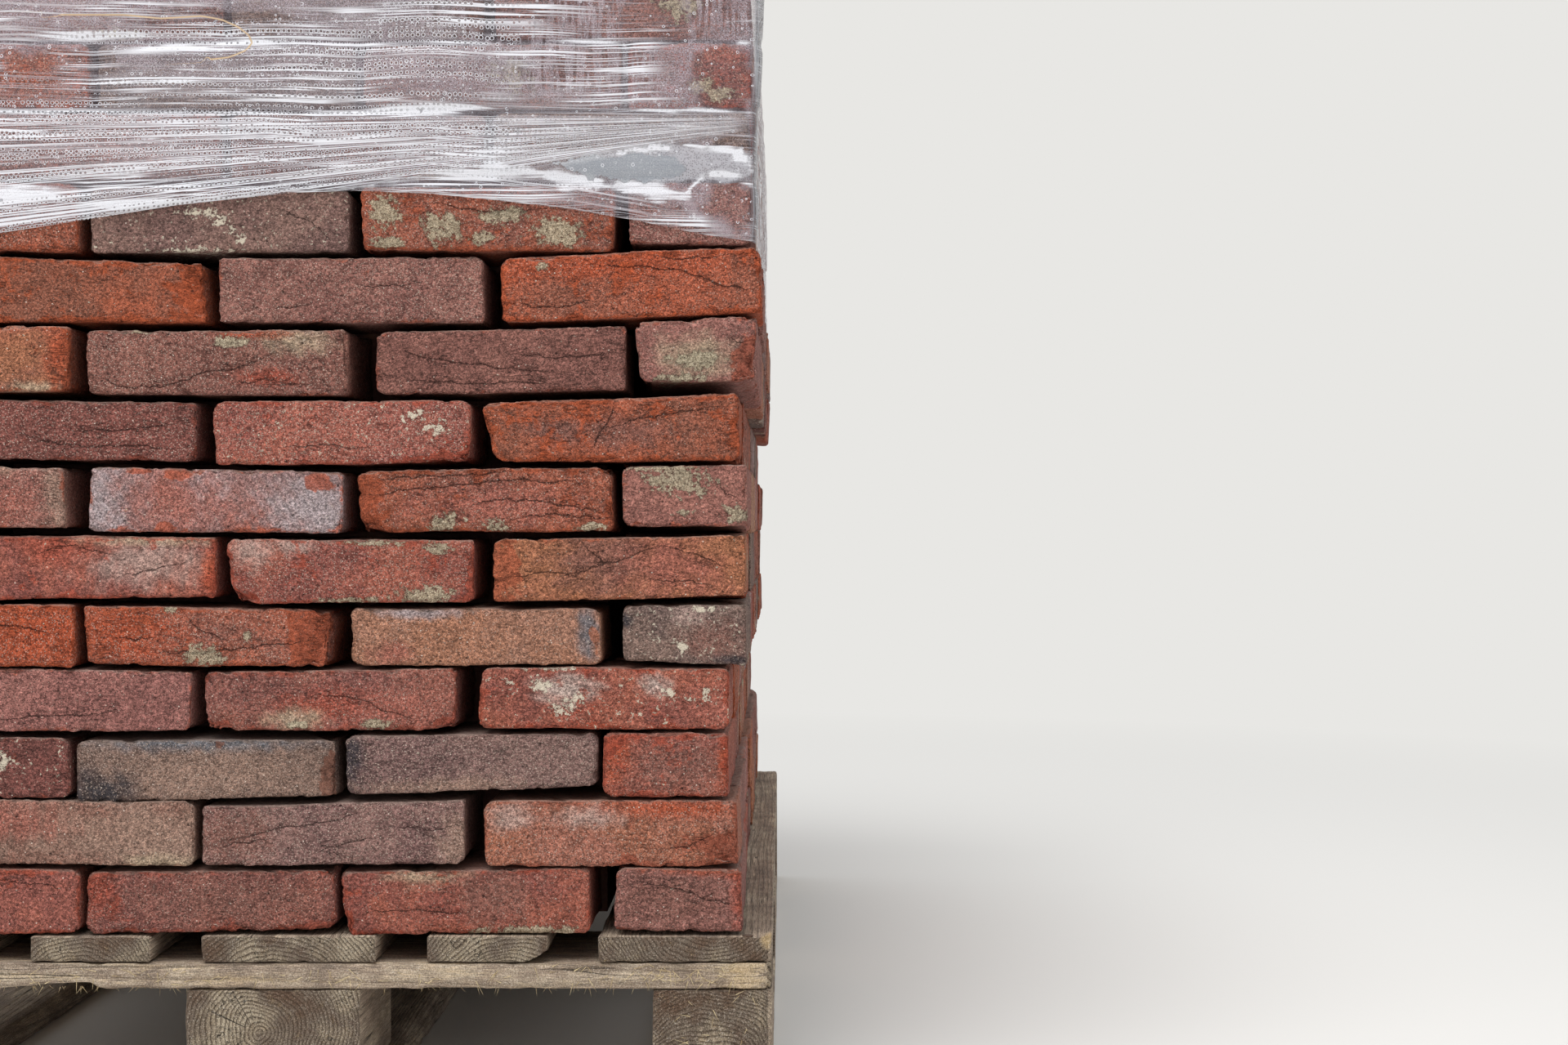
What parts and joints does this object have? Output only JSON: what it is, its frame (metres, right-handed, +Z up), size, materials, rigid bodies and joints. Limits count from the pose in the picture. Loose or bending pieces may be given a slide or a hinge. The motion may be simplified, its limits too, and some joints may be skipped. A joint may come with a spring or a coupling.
{
  "type": "pallet of bricks",
  "caption": "Reclaimed hand-moulded clay bricks stacked dry in bonded courses on a four-way wooden pallet, with stretch film round the upper courses.",
  "frame": {"origin": "middle of the pallet's footprint, on the floor", "axes": "+Z up, +Y along the pallet's 1200 mm side away from the front, +X along its 800 mm side to the right of someone who faces the front"},
  "size_m": [0.8, 1.2, 0.942],
  "materials": {
    "brick": "sanded, unglazed",
    "pallet_wood": "rough-sawn, weathered",
    "film": "clear film"
  },
  "bodies": {
    "root": {"block_back_centre": "pallet_wood", "block_back_left": "pallet_wood", "block_back_right": "pallet_wood", "block_front_centre": "pallet_wood", "block_front_left": "pallet_wood", "block_front_right": "pallet_wood", "block_middle_centre": "pallet_wood", "block_middle_left": "pallet_wood", "block_middle_right": "pallet_wood", "bottom_board_centre": "pallet_wood", "bottom_board_left": "pallet_wood", "bottom_board_right": "pallet_wood", "brick_core": "brick", "brick_course_01": "brick", "brick_course_02": "brick", "brick_course_03": "brick", "brick_course_04": "brick", "brick_course_05": "brick", "brick_course_06": "brick", "brick_course_07": "brick", "brick_course_08": "brick", "brick_course_09": "brick", "brick_course_10": "brick", "brick_course_11": "brick", "brick_course_12": "brick", "brick_course_13": "brick", "brick_course_14": "brick", "cross_board_back": "pallet_wood", "cross_board_front": "pallet_wood", "cross_board_middle": "pallet_wood", "deck_board_centre": "pallet_wood", "deck_board_left": "pallet_wood", "deck_board_mid_left": "pallet_wood", "deck_board_mid_right": "pallet_wood", "deck_board_right": "pallet_wood", "stretch_film": "film"}
  },
  "joints": []
}
